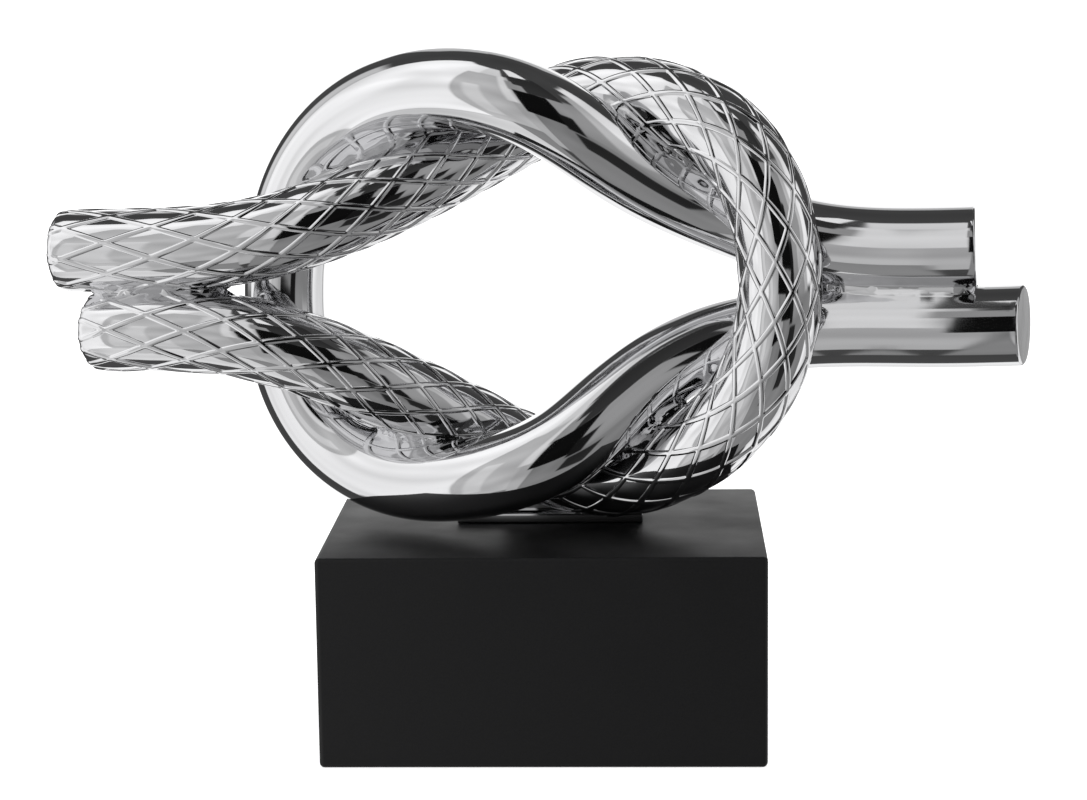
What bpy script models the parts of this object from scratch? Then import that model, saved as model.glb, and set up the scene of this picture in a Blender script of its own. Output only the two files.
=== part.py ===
"""Knot sculpture: two cast strands tied in a reef knot, standing on a low foot on a block plinth.

One strand is smooth and the other carries a diamond net of raised ribs. Both run from a pair of
open ends, over a crest, round a bight and back under. Z is up, the front faces -Y and the object
stands on the plinth's underside at the origin.
"""
import math

import bmesh
import bpy
from mathutils import Matrix, Vector

# plinth, in metres
PLINTH_WIDTH = 0.160
PLINTH_DEPTH = 0.120
PLINTH_HEIGHT = 0.0767
PLINTH_EDGE = 0.0018

# knot, in metres
KNOT_LENGTH = 0.356          # between the two farthest ends
KNOT_LEFT = 0.0055           # knot's centre from the plinth's centre
KNOT_FORWARD = 0.011
FOOT_LENGTH = 0.069
FOOT_DEPTH = 0.024
FOOT_HEIGHT = 0.0037
FOOT_FRONT = 0.008           # the foot's front face behind the knot's centre
FOOT_RIGHT = 0.0015          # the foot's middle from the plinth's middle
FOOT_SINK = 0.0020           # how deep the lowest strand is sunk in the foot
SEAT_GAP = 0.0003            # between the foot and the plinth
SMOOTH_EDGE = 0.0010         # rounding at the ends of each strand
CARVED_EDGE = 0.0030
SLANT = math.radians(14)     # the smooth strand's lower end is cut so far off square, facing forward
SLANT_REACH = 0.020          # over what length of the strand its rings lean into that cut

# the knot's form, in shares of its length
SMOOTH_RADIUS = 0.0416
CARVED_RADIUS = 0.0426       # over the ribs
RIB_HEIGHT = 0.0020
RIB_WIDTH = 0.0068
RIBS_AROUND = 8              # ribs of each slant that a cut through the strand meets
ROW_PITCH = 0.0295           # along the strand, from one row of crossings to the next
UPPER_END_PITCH = 0.0475     # the same towards the open ends, where the net is drawn out
LOWER_END_PITCH = 0.0388
EVEN_ROWS = 22               # rows on each side of the bight before the net is drawn out
NET_MIDDLE = -0.0056         # the net's row 0 along the strand from the bight
NET_TURN = math.radians(-15) # where row 0's crossings sit round the strand
NET_TWIST = math.radians(-34) # how much further round the net sits away from the bight
BENT = 0.18                  # each way from the bight, how far the strand bends sharply
TWIST_REACH = 0.225          # within what length along the strand it turns so far

# How far forward (-) or back (+) the smooth strand lies at each station inside its open ends, up to its
# bight, in thousandths of the knot's length. The carved strand lies the other way round.
DEPTHS = (11, 29, 28, -9, -52, -50, -5, 38, 54, 56)
SMOOTH_ENDS = (4, 5)         # the same at its upper and its lower open end
CARVED_ENDS = (-3, -3)

# Stations (outward, upward) from an open end to just short of the bight, for the upper and the
# lower half of each strand. Outward counts from the knot's middle towards the strand's ends.
SMOOTH_UPPER = ((456, 38), (405, 36), (295, 36), (192, 74), (103, 118),
                (42, 173), (-30, 206), (-120, 207), (-194, 166), (-244, 95))
SMOOTH_LOWER = ((506, -43), (411, -46), (296, -45), (189, -57), (101, -101),
                (40, -160), (-37, -189), (-127, -205), (-203, -177), (-253, -103))
CARVED_UPPER = ((479, 41), (412, 43), (301, 46), (200, 72), (105, 112),
                (25, 153), (-48, 192), (-136, 193), (-208, 159), (-248, 90))
CARVED_LOWER = ((444, -41), (413, -40), (303, -37), (203, -69), (109, -120),
                (28, -172), (-47, -210), (-121, -198), (-192, -153), (-242, -83))
BIGHT = (-260, -1)


def clear_scene():
    for obj in list(bpy.data.objects):
        bpy.data.objects.remove(obj, do_unlink=True)


def make_material(name, color, roughness, metallic):
    mat = bpy.data.materials.new(name)
    mat.use_nodes = True
    shader = mat.node_tree.nodes["Principled BSDF"]
    shader.inputs["Base Color"].default_value = (*color, 1.0)
    shader.inputs["Roughness"].default_value = roughness
    shader.inputs["Metallic"].default_value = metallic
    mat.diffuse_color = (*color, 1.0)
    return mat


def add_object(name, bm, mat, smooth_angle):
    mesh = bpy.data.meshes.new(name)
    bm.to_mesh(mesh)
    bm.free()
    mesh.materials.append(mat)
    mesh.shade_smooth()
    mesh.set_sharp_from_angle(angle=math.radians(smooth_angle))
    obj = bpy.data.objects.new(name, mesh)
    bpy.context.scene.collection.objects.link(obj)
    return obj


class Route:
    """Centre line of a strand: a smooth curve drawn by its stations, measured from the bight."""

    STEPS = 24

    def __init__(self, upper, lower, ends, side):
        stations = [*upper, BIGHT, *reversed(lower)]
        depths = [ends[0], *DEPTHS, *reversed(DEPTHS[:-1]), ends[1]]
        unit = KNOT_LENGTH / 1000
        points = [Vector((side * x, side * y, z)) * unit for (x, z), y in zip(stations, depths)]
        first = 2 * points[0] - points[1]
        last = 2 * points[-1] - points[-2]
        points = [first, *points, last]
        self.points = []
        for i in range(len(points) - 3):
            for k in range(self.STEPS):
                self.points.append(self.blend(points[i:i + 4], k / self.STEPS))
        self.points.append(self.blend(points[-4:], 1.0))
        self.middle = self.distances()
        self.frames = self.carry_frames()

    @staticmethod
    def blend(four, t):
        weights = ((1 - t) ** 3, 3 * t ** 3 - 6 * t ** 2 + 4, -3 * t ** 3 + 3 * t ** 2 + 3 * t + 1, t ** 3)
        return sum((p * w for p, w in zip(four, weights)), Vector()) / 6

    def distances(self):
        walked = [0.0]
        for a, b in zip(self.points, self.points[1:]):
            walked.append(walked[-1] + (b - a).length)
        middle = len(self.points) // 2
        self.along = [d - walked[middle] for d in walked]
        return middle

    def tangent(self, i):
        low, high = max(i - 1, 0), min(i + 1, len(self.points) - 1)
        return (self.points[high] - self.points[low]).normalized()

    def carry_frames(self):
        """A direction square to the curve, forward at the bight and carried along without twist."""
        frames = [None] * len(self.points)
        start = self.tangent(self.middle)
        forward = Vector((0, -1, 0))
        frames[self.middle] = (forward - forward.dot(start) * start).normalized()
        for step in (1, -1):
            i = self.middle
            while 0 <= i + step < len(self.points):
                turn = self.tangent(i).rotation_difference(self.tangent(i + step))
                carried = turn @ frames[i]
                axis = self.tangent(i + step)
                frames[i + step] = (carried - carried.dot(axis) * axis).normalized()
                i += step
        return frames

    def place(self, along, angle, radius):
        """The point at a distance along the strand, an angle round it and a distance out from it."""
        i = max(0, min(len(self.points) - 2, self.find(along)))
        span = self.along[i + 1] - self.along[i]
        t = (along - self.along[i]) / span
        axis = self.tangent(i).lerp(self.tangent(i + 1), t).normalized()
        front = self.frames[i].lerp(self.frames[i + 1], t)
        front = (front - front.dot(axis) * axis).normalized()
        centre = self.points[i].lerp(self.points[i + 1], t)
        return centre + radius * (math.cos(angle) * front + math.sin(angle) * axis.cross(front))

    def find(self, along):
        low, high = 0, len(self.along) - 1
        while high - low > 1:
            mid = (low + high) // 2
            if self.along[mid] <= along:
                low = mid
            else:
                high = mid
        return low

    def bend_spacing(self, count):
        """Distances along the strand, closer together where it bends."""
        weight = [0.0]
        for i in range(1, len(self.points)):
            step = self.along[i] - self.along[i - 1]
            bend = self.tangent(i).angle(self.tangent(i - 1))
            weight.append(weight[-1] + step / KNOT_LENGTH + 0.12 * bend)
        places, i = [], 0
        for k in range(count + 1):
            goal = weight[-1] * k / count
            while i < len(weight) - 2 and weight[i + 1] < goal:
                i += 1
            t = (goal - weight[i]) / (weight[i + 1] - weight[i])
            places.append(self.along[i] + t * (self.along[i + 1] - self.along[i]))
        return places


def wrap(bm, route, radius):
    """Rolls a flat sheet (x along the strand, y round it as an angle, z out of it) round a route."""
    for vert in bm.verts:
        along, angle, out = vert.co
        vert.co = route.place(along, angle, radius + out)
    bmesh.ops.remove_doubles(bm, verts=bm.verts, dist=0.00005)


def close_ends(bm, edge, steps):
    """Rounds both open ends of a sleeve over the given radius and closes them with flat faces."""
    rims = []
    left = {e for e in bm.edges if e.is_boundary}
    while left:
        rim = [left.pop()]
        for e in rim:
            for vert in e.verts:
                for other in vert.link_edges:
                    if other in left:
                        left.remove(other)
                        rim.append(other)
        rims.append(rim)
    for rim in rims:
        verts = list({v for e in rim for v in e.verts})
        centre = sum((v.co for v in verts), Vector()) / len(verts)
        radius = sum((v.co - centre).length for v in verts) / len(verts)
        inner = sum((f.calc_center_median() for e in rim for f in e.link_faces), Vector()) / len(rim)
        outward = plane_normal(verts, centre)
        if outward.dot(centre - inner) < 0:
            outward.negate()
        bmesh.ops.translate(bm, verts=verts, vec=-edge * outward)
        loop, done_in, done_out = rim, 0.0, 0.0
        for k in range(1, steps + 1):
            bow = math.pi / 2 * k / steps
            reach_in, reach_out = edge * (1 - math.cos(bow)), edge * math.sin(bow)
            made = bmesh.ops.extrude_edge_only(bm, edges=loop)["geom"]
            verts = [g for g in made if isinstance(g, bmesh.types.BMVert)]
            loop = [g for g in made if isinstance(g, bmesh.types.BMEdge)]
            shrink = (radius - reach_in) / (radius - done_in)
            here = sum((v.co for v in verts), Vector()) / len(verts)
            for v in verts:
                v.co = here + (v.co - here) * shrink + outward * (reach_out - done_out)
            done_in, done_out = reach_in, reach_out
        bmesh.ops.contextual_create(bm, geom=loop)


def plane_normal(verts, centre):
    """The normal of the flat ring that the vertices lie on."""
    first = verts[0].co - centre
    widest = max(verts, key=lambda v: first.cross(v.co - centre).length)
    return first.cross(widest.co - centre).normalized()


def slant(route, along, angle):
    """How far on a ring near the lower end leans, so that the cut there faces further forward."""
    front, axis = route.frames[-1], route.tangent(len(route.points) - 1)
    backward = math.cos(angle) * front.y + math.sin(angle) * axis.cross(front).y
    share = max(0, 1 - (route.along[-1] - along) / SLANT_REACH)
    return share * math.tan(SLANT) * SMOOTH_RADIUS * KNOT_LENGTH * backward


def smooth_strand(route, sides=24, rings=60):
    bm = bmesh.new()
    bmesh.ops.create_grid(bm, x_segments=rings, y_segments=sides, size=0.5)
    places = route.bend_spacing(rings)
    for vert in bm.verts:
        place = places[round((vert.co.x + 0.5) * rings)]
        angle = (vert.co.y + 0.5) * math.tau
        vert.co = (place + slant(route, place, angle), angle, 0)
    wrap(bm, route, SMOOTH_RADIUS * KNOT_LENGTH)
    close_ends(bm, SMOOTH_EDGE, 2)
    return bm


def row_place(row):
    """Distance from the bight of a row of rib crossings."""
    even = min(abs(row), EVEN_ROWS)
    drawn = abs(row) - even
    ease = min(drawn, 4) ** 2 / 8 + max(drawn - 4, 0)
    end_pitch = UPPER_END_PITCH if row < 0 else LOWER_END_PITCH
    reach = ROW_PITCH * abs(row) + (end_pitch - ROW_PITCH) * ease
    return KNOT_LENGTH * (NET_MIDDLE + math.copysign(reach, row))


def net_angle(place):
    """How far round the strand the net sits at a distance from the bight."""
    away = (place / KNOT_LENGTH - NET_MIDDLE) / TWIST_REACH
    return NET_TURN + NET_TWIST * (1 - math.exp(-away * away))


def carved_strand(route):
    """A sheet of diamonds, each set in a frame of ribs, rolled round the route."""
    radius = CARVED_RADIUS * KNOT_LENGTH
    height = RIB_HEIGHT * KNOT_LENGTH
    rows = 1
    while row_place(rows) < route.along[-1] or row_place(-rows) > route.along[0]:
        rows += 1
    across = RIBS_AROUND
    bm = bmesh.new()
    up = 2 * rows + across
    bmesh.ops.create_grid(bm, x_segments=across, y_segments=up, size=0.5)
    for vert in bm.verts:
        i = round((vert.co.x + 0.5) * across)
        j = round((vert.co.y + 0.5) * up) - rows - across
        place = row_place(i + j)
        vert.co = (place, radius * (math.pi * (i - j) / across + net_angle(place)), 0)
    for place, side in ((route.along[0], -1), (route.along[-1], 1)):
        bmesh.ops.bisect_plane(bm, geom=[*bm.verts, *bm.edges, *bm.faces], dist=0.00001,
                               plane_co=(place, 0, 0), plane_no=(side, 0, 0), clear_outer=True)
    bent = [e for e in bm.edges if abs(e.verts[0].co.x + e.verts[1].co.x) < 2 * BENT * KNOT_LENGTH]
    bmesh.ops.subdivide_edges(bm, edges=bent, cuts=1)
    bmesh.ops.inset_individual(bm, faces=bm.faces, thickness=RIB_WIDTH * KNOT_LENGTH / 2,
                               depth=-height, use_even_offset=True)
    for vert in bm.verts:
        vert.co.y /= radius
    wrap(bm, route, radius)
    close_ends(bm, CARVED_EDGE, 3)
    return bm


def box(bm, width, depth, height, centre_x, centre_y, base):
    made = bmesh.ops.create_cube(bm, size=1)["verts"]
    bmesh.ops.scale(bm, vec=(width, depth, height), verts=made)
    bmesh.ops.translate(bm, vec=(centre_x, centre_y, base + height / 2), verts=made)
    return made


def join(target, other):
    """Casts the second object into the first."""
    union = target.modifiers.new("cast", "BOOLEAN")
    union.operation = "UNION"
    union.solver = "EXACT"
    union.object = other
    other.hide_render = True
    other.display_type = "WIRE"


def tidy_body(bm):
    bmesh.ops.triangulate(bm, faces=bm.faces)
    bmesh.ops.recalc_face_normals(bm, faces=bm.faces)


def build_knot(chrome):
    smooth_route = Route(SMOOTH_UPPER, SMOOTH_LOWER, SMOOTH_ENDS, 1)
    carved_route = Route(CARVED_UPPER, CARVED_LOWER, CARVED_ENDS, -1)
    lowest = min(min(p.z for p in smooth_route.points) - SMOOTH_RADIUS * KNOT_LENGTH,
                 min(p.z for p in carved_route.points) - CARVED_RADIUS * KNOT_LENGTH)
    foot_top = PLINTH_HEIGHT + SEAT_GAP + FOOT_HEIGHT
    rise = foot_top - FOOT_SINK - lowest
    middle = Matrix.Translation((-KNOT_LEFT, -KNOT_FORWARD, rise))

    bodies = []
    for name, bm in (("knot", smooth_strand(smooth_route)), ("knot_carved", carved_strand(carved_route))):
        tidy_body(bm)
        bmesh.ops.transform(bm, matrix=middle, verts=bm.verts)
        bodies.append(add_object(name, bm, chrome, 35))
    bm = bmesh.new()
    box(bm, FOOT_LENGTH, FOOT_DEPTH, FOOT_HEIGHT, FOOT_RIGHT,
        FOOT_FRONT - KNOT_FORWARD + FOOT_DEPTH / 2, PLINTH_HEIGHT + SEAT_GAP)
    bodies.append(add_object("knot_foot", bm, chrome, 35))
    knot, carved, foot = bodies
    join(knot, carved)
    join(knot, foot)
    return knot


def build_plinth(black):
    bm = bmesh.new()
    box(bm, PLINTH_WIDTH, PLINTH_DEPTH, PLINTH_HEIGHT, 0, 0, 0)
    bmesh.ops.bevel(bm, geom=bm.edges, offset=PLINTH_EDGE, segments=3, profile=0.5, affect="EDGES")
    return add_object("plinth", bm, black, 35)


clear_scene()
build_plinth(make_material("matte_black", (0.012, 0.012, 0.013), 0.55, 0.0))
build_knot(make_material("chrome", (0.62, 0.62, 0.63), 0.06, 1.0))
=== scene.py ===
import math

import bmesh
import bpy
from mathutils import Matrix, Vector, noise
from mathutils.kdtree import KDTree


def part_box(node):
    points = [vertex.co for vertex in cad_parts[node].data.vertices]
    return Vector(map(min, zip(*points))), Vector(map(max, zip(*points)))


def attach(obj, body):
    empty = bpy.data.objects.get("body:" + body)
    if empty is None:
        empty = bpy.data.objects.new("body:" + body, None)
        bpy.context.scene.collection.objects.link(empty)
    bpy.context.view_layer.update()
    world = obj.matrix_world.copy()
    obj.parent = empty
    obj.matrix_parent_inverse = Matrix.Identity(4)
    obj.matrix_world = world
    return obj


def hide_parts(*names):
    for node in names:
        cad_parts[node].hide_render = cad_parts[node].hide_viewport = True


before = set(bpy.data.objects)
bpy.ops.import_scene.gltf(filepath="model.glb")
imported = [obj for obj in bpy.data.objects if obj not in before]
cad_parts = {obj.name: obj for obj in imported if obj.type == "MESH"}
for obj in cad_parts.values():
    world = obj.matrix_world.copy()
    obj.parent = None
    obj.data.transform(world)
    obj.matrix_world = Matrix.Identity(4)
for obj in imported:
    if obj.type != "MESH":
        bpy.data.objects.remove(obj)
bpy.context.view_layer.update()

print("frame loaded:", ", ".join(sorted(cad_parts)))


def shaderOf(name):
    material = bpy.data.materials.new(name)
    material.use_nodes = True
    return material, material.node_tree, material.node_tree.nodes["Principled BSDF"]


def addNode(tree, kind, settings=None, **inputs):
    # an input goes by its name, with _ for a space, or by its number, as i0
    node = tree.nodes.new(kind)
    for key, value in (settings or {}).items():
        setattr(node, key, value)
    for key, value in inputs.items():
        byNumber = key[0] == "i" and key[1:].isdigit()
        socket = node.inputs[int(key[1:]) if byNumber else key.replace("_", " ")]
        if isinstance(value, bpy.types.NodeSocket):
            tree.links.new(value, socket)
        else:
            socket.default_value = value
    return node


def keepMesh(name, bm, material, smoothAngle=40):
    mesh = bpy.data.meshes.new(name)
    bm.to_mesh(mesh)
    bm.free()
    mesh.materials.append(material)
    mesh.shade_smooth()
    mesh.set_sharp_from_angle(angle=math.radians(smoothAngle))
    piece = bpy.data.objects.new(name, mesh)
    bpy.context.scene.collection.objects.link(piece)
    return piece


# the knot: both strands and the foot, one casting
knotShape = {
    # metres
    "length": 0.356,          # between its two farthest ends
    "left": 0.0055,           # knot's middle from the plinth's middle
    "forward": 0.011,
    "footLength": 0.069,
    "footDepth": 0.024,
    "footHeight": 0.0037,
    "footFront": 0.008,       # the foot's front face behind the knot's middle
    "footRight": 0.0015,
    "footSink": 0.0020,       # how deep the lowest strand is sunk in the foot
    "padLength": 0.030,       # raised part of the foot, up between the crossing strands
    "padDepth": 0.014,
    "padHeight": 0.0086,
    "padLeft": 0.0015,
    "footEdge": 0.0004,
    "smoothEdge": 0.0010,     # rounding at the open ends
    "carvedEdge": 0.0030,
    "capInsets": (0.0002, 0.0012),  # rings just inside a flat end face, which keep its rim crisp
    "slantReach": 0.020,      # over what length of the strand its rings lean into the slanted cut
    "seamDive": 0.0005,       # how far a strand's skin sinks where the other's takes over
    "seamSoft": 0.0003,       # rounding between a seam and the ribs that come out of it
    "seamStop": 0.006,        # over this before an open end a seam runs out
    "weld": 0.00003,          # points closer than this become one
    "tiny": 0.00001,
    # shares of the length
    "smoothRadius": 0.0416,
    "carvedRadius": 0.0426,
    "legsFrom": 0.25,         # how far outward from its bight a strand's legs begin
    "partFrom": 0.70,         # where the smooth strand's legs part, outward from its bight
    "partTo": 0.79,
    "seamNarrow": 0.0040,     # how far out a melted seam reaches where the strands cross squarely
    "seamWide": 0.0180,       # and where they lie along each other
    "seamLegs": 0.0200,       # between the smooth strand's legs
    # angles, counts and plain ratios
    "slant": math.radians(14),  # the smooth strand's lower end is cut so far off square, to the front
    "smoothRings": 300,
    "smoothSides": 96,
    "smoothEdgeSteps": 5,
    "carvedEdgeSteps": 6,
    "partDense": 2.6,         # how much closer the smooth strand's rings lie where its legs part
    "seamSquare": 0.25,       # cosine between the strands up to which they cross squarely
    "seamTurn": 0.6,          # and how much more of it makes the seam wide
    "seamLumps": 0.05,
    "seamLumpScale": 130,
    "seamSteps": 6,           # search for a seam's surface: steps outward, then halvings
    "seamHalvings": 5,
    "seamDiveEase": 3,
}

netShape = {
    # shares of the knot's length
    "height": 0.0020,
    "pitch": 0.0295,          # from one row of crossings to the next
    "upperEndPitch": 0.0475,  # towards the open ends, where the net is drawn out
    "lowerEndPitch": 0.0388,
    "middle": -0.0056,
    "twistReach": 0.225,
    "pillow": 0.0014,         # how far the middle of a panel swells
    # metres
    "fadeOut": 0.0030,        # over this the ribs sink at the open ends
    # angles, counts and plain ratios
    "ribsAround": 8,          # ribs of each slant that a cut through the strand meets
    "evenRows": 22,
    "easeRows": 4,            # rows over which the pitch changes to that of the ends
    "endHeight": 0.6,         # what is left of a rib's height at an open end
    "turn": math.radians(-15),
    "twist": math.radians(-34),
    # across one diamond, from the middle of a rib to the middle of the panel: how far out each line
    # of the mesh lies, as a share of the rib's height
    "lines": ((0.0, 1.0), (0.030, 0.98), (0.076, 0.72), (0.108, 0.0), (0.124, 0.0), (0.31, 0.0)),
}

# The two centre lines, in thousandths of the knot's length. These numbers weren't measured by hand:
# a fit to the photo's outline, outside this script, solved for most of them, and they are rounded.
# How far forward (-) or back (+) the smooth strand lies at each station inside its open ends, up to
# its bight; the carved strand lies the other way round.
depths = (11, 29, 28, -9, -52, -50, -5, 38, 54, 56)
smoothEnds = (4, 5)           # the same at its upper and its lower open end
carvedEnds = (-3, -3)

# Stations (outward, upward) from an open end to just short of the bight.
smoothUpper = ((456, 38), (405, 36), (295, 36), (192, 74), (103, 118),
               (42, 173), (-30, 206), (-120, 207), (-194, 166), (-244, 95))
smoothLower = ((506, -43), (411, -46), (296, -45), (189, -57), (101, -101),
               (40, -160), (-37, -189), (-127, -205), (-203, -177), (-253, -103))
carvedUpper = ((479, 41), (412, 43), (301, 46), (200, 72), (105, 112),
               (25, 153), (-48, 192), (-136, 193), (-208, 159), (-248, 90))
carvedLower = ((444, -41), (413, -40), (303, -37), (203, -69), (109, -120),
               (28, -172), (-47, -210), (-121, -198), (-192, -153), (-242, -83))
bight = (-260, -1)


def blendFour(four, t):
    weights = ((1 - t) ** 3, 3 * t ** 3 - 6 * t ** 2 + 4, -3 * t ** 3 + 3 * t ** 2 + 3 * t + 1, t ** 3)
    return sum((p * w for p, w in zip(four, weights)), Vector()) / 6


def drawRoute(upper, lower, ends, side, steps=96):
    # a smooth centre line through the stations, with a direction square to it carried along
    unit = knotShape["length"] / 1000
    stations = [*upper, bight, *reversed(lower)]
    back = [ends[0], *depths, *reversed(depths[:-1]), ends[1]]
    points = [Vector((side * x, side * y, z)) * unit for (x, z), y in zip(stations, back)]
    points = [2 * points[0] - points[1], *points, 2 * points[-1] - points[-2]]
    line = [blendFour(points[i:i + 4], k / steps) for i in range(len(points) - 3) for k in range(steps)]
    line.append(blendFour(points[-4:], 1.0))
    walked = [0.0]
    for a, b in zip(line, line[1:]):
        walked.append(walked[-1] + (b - a).length)
    middle = len(line) // 2
    along = [d - walked[middle] for d in walked]
    last = len(line) - 1
    tangents = [(line[min(i + 1, last)] - line[max(i - 1, 0)]).normalized() for i in range(last + 1)]
    fronts = [None] * (last + 1)
    forward = Vector((0, -1, 0))
    fronts[middle] = (forward - forward.dot(tangents[middle]) * tangents[middle]).normalized()
    for step in (1, -1):
        i = middle
        while 0 <= i + step <= last:
            carried = tangents[i].rotation_difference(tangents[i + step]) @ fronts[i]
            axis = tangents[i + step]
            fronts[i + step] = (carried - carried.dot(axis) * axis).normalized()
            i += step
    return {"line": line, "along": along, "tangents": tangents, "fronts": fronts}


def placeOn(route, along, angle, radius):
    low, high = 0, len(route["along"]) - 1
    while high - low > 1:
        mid = (low + high) // 2
        low, high = (mid, high) if route["along"][mid] <= along else (low, mid)
    t = (along - route["along"][low]) / (route["along"][high] - route["along"][low])
    axis = route["tangents"][low].lerp(route["tangents"][high], t).normalized()
    front = route["fronts"][low].lerp(route["fronts"][high], t)
    front = (front - front.dot(axis) * axis).normalized()
    centre = route["line"][low].lerp(route["line"][high], t)
    return centre + radius * (math.cos(angle) * front + math.sin(angle) * axis.cross(front))


def rollUp(bm, route, radius):
    # a flat sheet (x along the strand, y an angle round it, z out of it) becomes a sleeve
    for vert in bm.verts:
        along, angle, out = vert.co
        vert.co = placeOn(route, along, angle, radius + out)
    bmesh.ops.remove_doubles(bm, verts=bm.verts, dist=knotShape["weld"])


def closeEnds(bm, edge, steps):
    # carries both rims of a sleeve on over a rounding and closes them with flat faces
    rims, left = [], {e for e in bm.edges if e.is_boundary}
    while left:
        rim = [left.pop()]
        for e in rim:
            for vert in e.verts:
                for other in vert.link_edges:
                    if other in left:
                        left.remove(other)
                        rim.append(other)
        rims.append(rim)
    for rim in rims:
        verts = list({v for e in rim for v in e.verts})
        centre = sum((v.co for v in verts), Vector()) / len(verts)
        radius = sum((v.co - centre).length for v in verts) / len(verts)
        inner = sum((f.calc_center_median() for e in rim for f in e.link_faces), Vector()) / len(rim)
        first = verts[0].co - centre
        widest = max(verts, key=lambda v: first.cross(v.co - centre).length)
        outward = first.cross(widest.co - centre).normalized()
        if outward.dot(centre - inner) < 0:
            outward.negate()
        loop, doneIn, doneOut = rim, 0.0, 0.0
        for k in range(1, steps + 1):
            bow = math.pi / 2 * k / steps
            reachIn, reachOut = edge * (1 - math.cos(bow)), edge * math.sin(bow)
            made = bmesh.ops.extrude_edge_only(bm, edges=loop)["geom"]
            verts = [g for g in made if isinstance(g, bmesh.types.BMVert)]
            loop = [g for g in made if isinstance(g, bmesh.types.BMEdge)]
            here = sum((v.co for v in verts), Vector()) / len(verts)
            shrink = (radius - reachIn) / (radius - doneIn)
            for v in verts:
                v.co = here + (v.co - here) * shrink + outward * (reachOut - doneOut)
            doneIn, doneOut = reachIn, reachOut
        for inset in knotShape["capInsets"]:
            made = bmesh.ops.extrude_edge_only(bm, edges=loop)["geom"]
            verts = [g for g in made if isinstance(g, bmesh.types.BMVert)]
            loop = [g for g in made if isinstance(g, bmesh.types.BMEdge)]
            here = sum((v.co for v in verts), Vector()) / len(verts)
            for v in verts:
                v.co = here + (v.co - here) * (1 - inset / radius)
        bmesh.ops.contextual_create(bm, geom=loop)


def slantOf(route, along, angle, radius):
    # how far along the strand a ring near the lower end leans at this angle
    front, axis = route["fronts"][-1], route["tangents"][-1]
    backward = math.cos(angle) * front.y + math.sin(angle) * axis.cross(front).y
    share = max(0, 1 - (route["along"][-1] - along) / knotShape["slantReach"])
    return share * math.tan(knotShape["slant"]) * radius * backward


def ringPlace(share, start, end):
    # rings lie closer together where the legs part, behind the carved bight
    near = knotShape["partFrom"] * knotShape["length"]
    far = knotShape["partTo"] * knotShape["length"]
    stops, dense = (start, -far, -near, near, far, end), knotShape["partDense"]
    weights = [(b - a) * d for a, b, d in zip(stops, stops[1:], (1, dense, 1, dense, 1))]
    left = share * sum(weights)
    for a, b, weight in zip(stops, stops[1:], weights):
        if left <= weight:
            return a + (b - a) * left / weight
        left -= weight
    return end


def smoothStrand(route):
    rings, sides = knotShape["smoothRings"], knotShape["smoothSides"]
    bm = bmesh.new()
    bmesh.ops.create_grid(bm, x_segments=rings, y_segments=sides, size=0.5)
    edge = knotShape["smoothEdge"]
    start, end = route["along"][0] + edge, route["along"][-1] - edge
    radius = knotShape["smoothRadius"] * knotShape["length"]
    for vert in bm.verts:
        place = ringPlace(vert.co.x + 0.5, start, end)
        angle = (vert.co.y + 0.5) * math.tau
        vert.co = (place + slantOf(route, place, angle, radius), angle, 0)
    rollUp(bm, route, radius)
    closeEnds(bm, edge, knotShape["smoothEdgeSteps"])
    return bm


def smoothShare(x):
    # 0 below 0, 1 above 1, and a soft rise between
    x = max(0.0, min(1.0, x))
    return x * x * (3 - 2 * x)


def rowPlace(row):
    # where along the strand a row of crossings lies
    even = min(abs(row), netShape["evenRows"])
    drawn = abs(row) - even
    soft = netShape["easeRows"]
    ease = min(drawn, soft) ** 2 / (2 * soft) + max(drawn - soft, 0)
    endPitch = netShape["upperEndPitch"] if row < 0 else netShape["lowerEndPitch"]
    reach = netShape["pitch"] * abs(row) + (endPitch - netShape["pitch"]) * ease
    return knotShape["length"] * (netShape["middle"] + math.copysign(reach, row))


def netAngle(place):
    away = (place / knotShape["length"] - netShape["middle"]) / netShape["twistReach"]
    return netShape["turn"] + netShape["twist"] * (1 - math.exp(-away * away))


def carvedStrand(route):
    # a sheet of diamonds with a rib along every side, rolled round the route
    across = netShape["ribsAround"]
    lines = [*netShape["lines"], (0.5, 0.0)]
    cell = [*lines, *((1 - f, h) for f, h in reversed(lines[:-1]))][:-1]
    fine = len(cell)
    rows = 1
    while rowPlace(rows) < route["along"][-1] or rowPlace(-rows) > route["along"][0]:
        rows += 1
    up = 2 * rows + across
    bm = bmesh.new()
    bmesh.ops.create_grid(bm, x_segments=across * fine, y_segments=up * fine, size=0.5)
    height = netShape["height"] * knotShape["length"]
    pillow = netShape["pillow"] * knotShape["length"]
    edge, atEnd = knotShape["carvedEdge"], netShape["endHeight"]
    start, end = route["along"][0] + edge, route["along"][-1] - edge
    for vert in bm.verts:
        i, iPart = divmod(round((vert.co.x + 0.5) * across * fine), fine)
        j, jPart = divmod(round((vert.co.y + 0.5) * up * fine), fine)
        u, v = i + cell[iPart][0], j + cell[jPart][0] - rows - across
        place = rowPlace(u + v)
        inside = min(place - start, end - place) / netShape["fadeOut"]
        full = smoothShare(inside)
        stand = height * max(cell[iPart][1], cell[jPart][1])
        swell = pillow * math.sin(math.pi * cell[iPart][0]) * math.sin(math.pi * cell[jPart][0])
        out = stand * (atEnd + (1 - atEnd) * full) + swell * full - height
        vert.co = (place, math.pi * (u - v) / across + netAngle(place), out)
    for place, side in ((start, -1), (end, 1)):
        bmesh.ops.bisect_plane(bm, geom=[*bm.verts, *bm.edges, *bm.faces], dist=knotShape["tiny"],
                               plane_co=(place, 0, 0), plane_no=(side, 0, 0), clear_outer=True)
    rollUp(bm, route, knotShape["carvedRadius"] * knotShape["length"])
    closeEnds(bm, edge, knotShape["carvedEdgeSteps"])
    return bm


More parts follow.
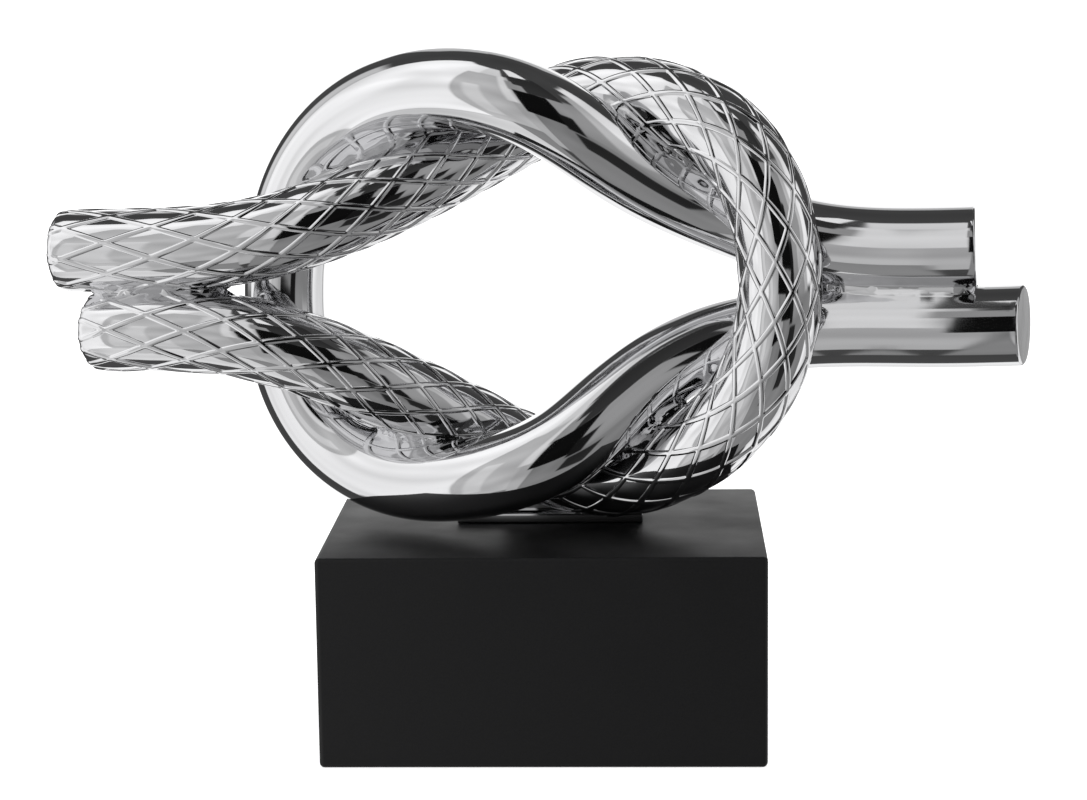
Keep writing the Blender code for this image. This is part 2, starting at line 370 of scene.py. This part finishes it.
def treeOf(points):
    tree = KDTree(len(points))
    for i, p in enumerate(points):
        tree.insert(p, i)
    tree.balance()
    return tree


def meltSeams(bm, route, base, neighbours):
    # where a strand meets another, the wedge between them is filled, as in one casting
    shape = knotShape
    narrow, steps = shape["seamNarrow"] * shape["length"], shape["seamSteps"]
    places, own = route["along"], treeOf(route["line"])
    for vert in bm.verts:
        centre, index, distance = own.find(vert.co)
        relief, lift = distance - base, 0.0
        inside = min(places[index] - places[0], places[-1] - places[index])
        runOut = smoothShare(inside / shape["seamStop"])
        away = (vert.co - centre) / distance
        for points, axes, otherBase, wide, first, last, stop in neighbours:
            if not first <= places[index] <= last:
                continue
            spot = centre + away * base
            nearest, place, apart = points.find(spot)
            if apart - otherBase > 2 * wide:
                continue
            reach = wide
            if not stop:
                along = abs(axes[place].dot(route["tangents"][index]))
                turned = (along - shape["seamSquare"]) / shape["seamTurn"]
                reach = narrow + (wide - narrow) * smoothShare(turned)
            lump = noise.noise((nearest + centre) * shape["seamLumpScale"])
            reach *= runOut * (1 + shape["seamLumps"] * lump)
            if stop:
                end, outward = stop
                reach *= smoothShare((end - spot).dot(outward) / shape["seamStop"])
            if reach < shape["tiny"]:
                continue

            def outside(rise):
                # above 0 where the spot is clear of both strands and of the fill between them
                spot = centre + away * (base + rise)
                gap = (spot - points.find(spot)[0]).length - otherBase
                return min(rise, gap) - max(reach - abs(rise - gap), 0) ** 2 / (4 * reach)

            if outside(0.0) >= 0:
                continue
            low, high, step = 0.0, None, reach / steps
            for k in range(1, steps + 1):
                if outside(k * step) >= 0:
                    low, high = (k - 1) * step, k * step
                    break
            if high is None:
                lift = max(lift, reach / 2)
                continue
            for again in range(shape["seamHalvings"]):
                middle = (low + high) / 2
                low, high = (low, middle) if outside(middle) >= 0 else (middle, high)
            # past the middle of the seam the other strand's skin is the one that shows
            spot = centre + away * (base + high)
            beyond = high + otherBase - (spot - points.find(spot)[0]).length
            dive = min(max(beyond, 0) / shape["seamDiveEase"], shape["seamDive"])
            lift = max(lift, high - dive)
        if lift > 0:
            soft = min(shape["seamSoft"], lift)
            out = (relief + lift + math.hypot(relief - lift, soft)) / 2
            vert.co = centre + away * (base + out)


def makeKnot(material):
    shape = knotShape
    smoothRoute = drawRoute(smoothUpper, smoothLower, smoothEnds, 1)
    carvedRoute = drawRoute(carvedUpper, carvedLower, carvedEnds, -1)
    smoothRadius = shape["smoothRadius"] * shape["length"]
    carvedRadius = shape["carvedRadius"] * shape["length"]
    lowest = min(min(p.z for p in smoothRoute["line"]) - smoothRadius,
                 min(p.z for p in carvedRoute["line"]) - carvedRadius)
    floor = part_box("knot")[0].z
    rise = floor + shape["footHeight"] - shape["footSink"] - lowest

    whole = bmesh.new()
    low = -shape["legsFrom"] * shape["length"]
    panelRadius = carvedRadius - netShape["height"] * shape["length"]
    wide = shape["seamWide"] * shape["length"]
    for name, strand, route, base, other, otherBase, legs in (
            ("smooth", smoothStrand, smoothRoute, smoothRadius, carvedRoute, panelRadius,
             shape["seamLegs"] * shape["length"]),
            ("carved", carvedStrand, carvedRoute, panelRadius, smoothRoute, smoothRadius, wide)):
        bm = strand(route)
        upperLeg = treeOf([p for p, a in zip(route["line"], route["along"]) if a < low])
        lowerLeg = treeOf([p for p, a in zip(route["line"], route["along"]) if a > -low])
        far = route["along"][-1] + 1
        upperStop = (route["line"][0], -route["tangents"][0])
        lowerStop = (route["line"][-1], route["tangents"][-1])
        meltSeams(bm, route, base, (
            (treeOf(other["line"]), other["tangents"], otherBase, wide, -far, far, None),
            (upperLeg, None, base, legs, -low, far, upperStop),
            (lowerLeg, None, base, legs, -far, low, lowerStop)))
        bmesh.ops.recalc_face_normals(bm, faces=bm.faces)
        mesh = bpy.data.meshes.new(name)
        bm.to_mesh(mesh)
        bm.free()
        whole.from_mesh(mesh)
        bpy.data.meshes.remove(mesh)
    bmesh.ops.translate(whole, vec=(-shape["left"], -shape["forward"], rise), verts=whole.verts)

    middle = shape["footFront"] - shape["forward"] + shape["footDepth"] / 2
    foot = (shape["footLength"], shape["footDepth"], shape["footHeight"])
    pad = (shape["padLength"], shape["padDepth"], shape["padHeight"])
    for size, right in ((foot, shape["footRight"]), (pad, -shape["padLeft"])):
        block = bmesh.ops.create_cube(whole, size=1)["verts"]
        bmesh.ops.scale(whole, vec=size, verts=block)
        bmesh.ops.translate(whole, verts=block, vec=(right, middle, floor + size[2] / 2))
        edges = list({e for v in block for e in v.link_edges})
        bmesh.ops.bevel(whole, geom=edges, offset=shape["footEdge"], segments=3, profile=0.5,
                        affect="EDGES", material=-1)
    print("knot:", sum(len(f.verts) - 2 for f in whole.faces), "triangles")
    return keepMesh("castKnot", whole, material, smoothAngle=50)


chromeFinish = {
    "color": (0.66, 0.66, 0.67),
    "roughness": 0.045,
    "roughnessSpread": 0.03,
    "smearScale": 60.0,
    "waveScale": 90.0,
    "waveStrength": 0.35,
    "waveDepth": 0.00004,
}


def chrome():
    finish = chromeFinish
    material, tree, shader = shaderOf("chrome")
    coords = addNode(tree, "ShaderNodeTexCoord").outputs["Object"]
    smear = addNode(tree, "ShaderNodeTexNoise", Vector=coords, Scale=finish["smearScale"], Detail=3.0)
    spread = addNode(tree, "ShaderNodeMapRange", Value=smear.outputs["Fac"], From_Min=0.3, From_Max=0.8,
                     To_Min=finish["roughness"], To_Max=finish["roughness"] + finish["roughnessSpread"])
    wave = addNode(tree, "ShaderNodeTexNoise", Vector=coords, Scale=finish["waveScale"], Detail=2.0)
    bump = addNode(tree, "ShaderNodeBump", Height=wave.outputs["Fac"],
                   Strength=finish["waveStrength"], Distance=finish["waveDepth"])
    shader.inputs["Base Color"].default_value = (*finish["color"], 1)
    shader.inputs["Metallic"].default_value = 1.0
    tree.links.new(spread.outputs["Result"], shader.inputs["Roughness"])
    tree.links.new(bump.outputs["Normal"], shader.inputs["Normal"])
    return material


castKnot = makeKnot(chrome())
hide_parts("knot")
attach(castKnot, "root")
print("knot done")


# the plinth
plinthShape = {
    "edge": 0.0018,
    "color": (0.004, 0.004, 0.0044),
    "roughness": 0.5,
    "specular": 0.25,
    "grainScale": 1600.0,
    "grainStrength": 0.5,
    "grainDepth": 0.00008,
    "cloudScale": 35.0,
}


def matteBlack():
    material, tree, shader = shaderOf("matteBlack")
    coords = addNode(tree, "ShaderNodeTexCoord").outputs["Object"]
    grain = addNode(tree, "ShaderNodeTexNoise", Vector=coords, Scale=plinthShape["grainScale"],
                    Detail=3.0, Roughness=0.6)
    cloud = addNode(tree, "ShaderNodeTexNoise", Vector=coords, Scale=plinthShape["cloudScale"],
                    Detail=4.0)
    rough = addNode(tree, "ShaderNodeMapRange", Value=cloud.outputs["Fac"], From_Min=0.3, From_Max=0.7,
                    To_Min=plinthShape["roughness"] - 0.05, To_Max=plinthShape["roughness"] + 0.06)
    bump = addNode(tree, "ShaderNodeBump", Height=grain.outputs["Fac"],
                   Strength=plinthShape["grainStrength"], Distance=plinthShape["grainDepth"])
    tint = addNode(tree, "ShaderNodeMapRange", Value=grain.outputs["Fac"], From_Min=0.3, From_Max=0.75,
                   To_Min=0.8, To_Max=1.35)
    shade = addNode(tree, "ShaderNodeVectorMath", {"operation": "SCALE"},
                    i0=plinthShape["color"], Scale=tint.outputs["Result"])
    shader.inputs["Specular IOR Level"].default_value = plinthShape["specular"]
    tree.links.new(shade.outputs["Vector"], shader.inputs["Base Color"])
    tree.links.new(rough.outputs["Result"], shader.inputs["Roughness"])
    tree.links.new(bump.outputs["Normal"], shader.inputs["Normal"])
    return material


def makePlinth(material):
    low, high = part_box("plinth")
    bm = bmesh.new()
    block = bmesh.ops.create_cube(bm, size=1)["verts"]
    bmesh.ops.scale(bm, vec=high - low, verts=block)
    bmesh.ops.translate(bm, vec=(low + high) / 2, verts=block)
    bmesh.ops.bevel(bm, geom=bm.edges, offset=plinthShape["edge"], segments=5, profile=0.5,
                    affect="EDGES", material=-1)
    return keepMesh("plinthBlock", bm, material, smoothAngle=60)


plinthBlock = makePlinth(matteBlack())
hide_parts("plinth")
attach(plinthBlock, "root")
print("plinth done")


# floor, light and camera
studio = {
    "floorReach": 60,         # metres from its middle to its edges
    "floorColor": (0.80, 0.80, 0.80),
    "floorGlow": 0.62,        # keeps the pale floor even, as under a light tent
    "dome": 1.25,             # soft light from all round on matte surfaces
    "room": 0.08,             # the dark room that the metal mirrors between the panels
    "drift": 0.22,            # how far the panels' light drifts from place to place
    "driftScale": 1.7,
    # Light panels and flags that the metal mirrors: degrees round from and to (0 is the front, plus is
    # right), degrees up from and to, light, softness of the edge. Typed in after the brightness
    # of the photo's metal in each direction, and changed after renders.
    "panels": (
        (-200, -154, -60, 30, 1.45, 5),      # pale backdrop
        (154, 200, -60, 30, 1.20, 5),
        (-200, -160, 30, 46, 0.65, 4),
        (156, 200, 30, 44, 0.60, 4),
        (95, 150, -60, -4, 1.20, 4),         # pale floor at the back
        (-104, -46, -45, 77, 1.30, 3),       # big panel on the left
        (-124, -104, -5, 44, 0.85, 6),
        (-98, -66, -12, 26, 1.48, 8),
        (-95, -35, -80, -45, 0.94, 4),       # pale floor on the left
        (-46, -3, -45, 60, 0.70, 2),         # pale wall left of the camera
        (-41, -31, -35, 25, 0.93, 3),
        (-15, -7, 4, 60, 1.06, 4),
        (-12, 0, -60, 4, 0.60, 3),
        (-34, -12, -80, -45, 0.34, 4),
        (-46, -9, 58, 77, 1.02, 4),
        (-60, -35, 57, 77, 1.25, 3),
        (4, 34, 64, 82, 1.25, 2),            # panel overhead, in front
        (-8, 10, 32, 52, 0.40, 3),
        (0, 95, -80, -8, 0.32, 4),           # dark floor beyond the table, front right
        (18, 62, -10, 36, 0.38, 4),          # panel on the right, dimmer towards the camera
        (60, 76, -8, 48, 0.64, 5),
        (75, 100, -4, 56, 1.12, 5),
        (0, 46, 47, 66, 0.04, 1.5),          # dark edges above the camera
        (9, 46, 34, 50, 0.04, 2),
        (28, 56, -36, -16, 0.03, 3),
        (-5, 27, -9, 34, 0.006, 1.5),        # the camera
        (24, 38, -14, 10, 0.015, 3),
    ),
}


def makeFloor():
    bm = bmesh.new()
    bmesh.ops.create_grid(bm, x_segments=1, y_segments=1, size=studio["floorReach"])
    material, tree, shader = shaderOf("paleFloor")
    shader.inputs["Base Color"].default_value = (*studio["floorColor"], 1)
    shader.inputs["Roughness"].default_value = 0.9
    shader.inputs["Specular IOR Level"].default_value = 0.0
    shader.inputs["Emission Color"].default_value = (1, 1, 1, 1)
    shader.inputs["Emission Strength"].default_value = studio["floorGlow"]
    floor = keepMesh("floor", bm, material)
    floor.visible_glossy = False


makeFloor()


def band(tree, value, low, high, soft):
    # 1 between low and high, fading to 0 over soft on both sides
    rise = addNode(tree, "ShaderNodeMapRange", {"interpolation_type": "SMOOTHSTEP"}, Value=value,
                   From_Min=low - soft / 2, From_Max=low + soft / 2)
    fall = addNode(tree, "ShaderNodeMapRange", {"interpolation_type": "SMOOTHSTEP"}, Value=value,
                   From_Min=high - soft / 2, From_Max=high + soft / 2, To_Min=1.0, To_Max=0.0)
    return addNode(tree, "ShaderNodeMath", {"operation": "MULTIPLY"}, i0=rise.outputs["Result"],
                   i1=fall.outputs["Result"]).outputs[0]


def mixLight(tree, share, a, b):
    mix = addNode(tree, "ShaderNodeMix", {"data_type": "FLOAT"}, Factor=share, A=a, B=b)
    return mix.outputs["Result"]


def makeStudio():
    world = bpy.data.worlds.new("studio")
    bpy.context.scene.world = world
    world.use_nodes = True
    tree = world.node_tree
    background = tree.nodes["Background"]
    direction = addNode(tree, "ShaderNodeTexCoord").outputs["Generated"]
    parts = addNode(tree, "ShaderNodeSeparateXYZ", Vector=direction)
    back = addNode(tree, "ShaderNodeMath", {"operation": "MULTIPLY"}, i0=parts.outputs["Y"], i1=-1.0)
    turn = addNode(tree, "ShaderNodeMath", {"operation": "ARCTAN2"}, i0=parts.outputs["X"],
                   i1=back.outputs[0])
    turn = addNode(tree, "ShaderNodeMath", {"operation": "DEGREES"}, i0=turn.outputs[0]).outputs[0]
    lift = addNode(tree, "ShaderNodeMath", {"operation": "ARCSINE"}, i0=parts.outputs["Z"])
    lift = addNode(tree, "ShaderNodeMath", {"operation": "DEGREES"}, i0=lift.outputs[0]).outputs[0]
    light = studio["room"]
    for left, right, low, high, strength, soft in studio["panels"]:
        inside = addNode(tree, "ShaderNodeMath", {"operation": "MULTIPLY"},
                         i0=band(tree, turn, left, right, soft),
                         i1=band(tree, lift, low, high, soft)).outputs[0]
        light = mixLight(tree, inside, light, strength)
    cloud = addNode(tree, "ShaderNodeTexNoise", Vector=direction, Scale=studio["driftScale"], Detail=1.0)
    drift = addNode(tree, "ShaderNodeMapRange", Value=cloud.outputs["Fac"], From_Min=0.3, From_Max=0.7,
                    To_Min=1 - studio["drift"], To_Max=1 + studio["drift"] / 2)
    light = addNode(tree, "ShaderNodeMath", {"operation": "MULTIPLY"}, i0=light,
                    i1=drift.outputs["Result"]).outputs[0]
    path = addNode(tree, "ShaderNodeLightPath").outputs
    light = mixLight(tree, path["Is Diffuse Ray"], light, studio["dome"])
    light = mixLight(tree, path["Is Camera Ray"], light, 1.0)
    tree.links.new(light, background.inputs["Color"])


makeStudio()

shot = {
    "sensor": 36,             # millimetres
    "lens": 91.1,
    "place": (0.0384, -1.0022, 0.2971),
    "turn": (80.14, 0.71, 2.10),  # degrees
    "clip": (0.01, 50),
}
camera = bpy.data.objects.new("camera", bpy.data.cameras.new("camera"))
bpy.context.scene.collection.objects.link(camera)
camera.data.sensor_width, camera.data.lens = shot["sensor"], shot["lens"]
camera.data.clip_start, camera.data.clip_end = shot["clip"]
camera.location = shot["place"]
camera.rotation_euler = [math.radians(angle) for angle in shot["turn"]]
bpy.context.scene.camera = camera
bpy.context.scene.view_settings.view_transform = "Standard"
print("studio done")
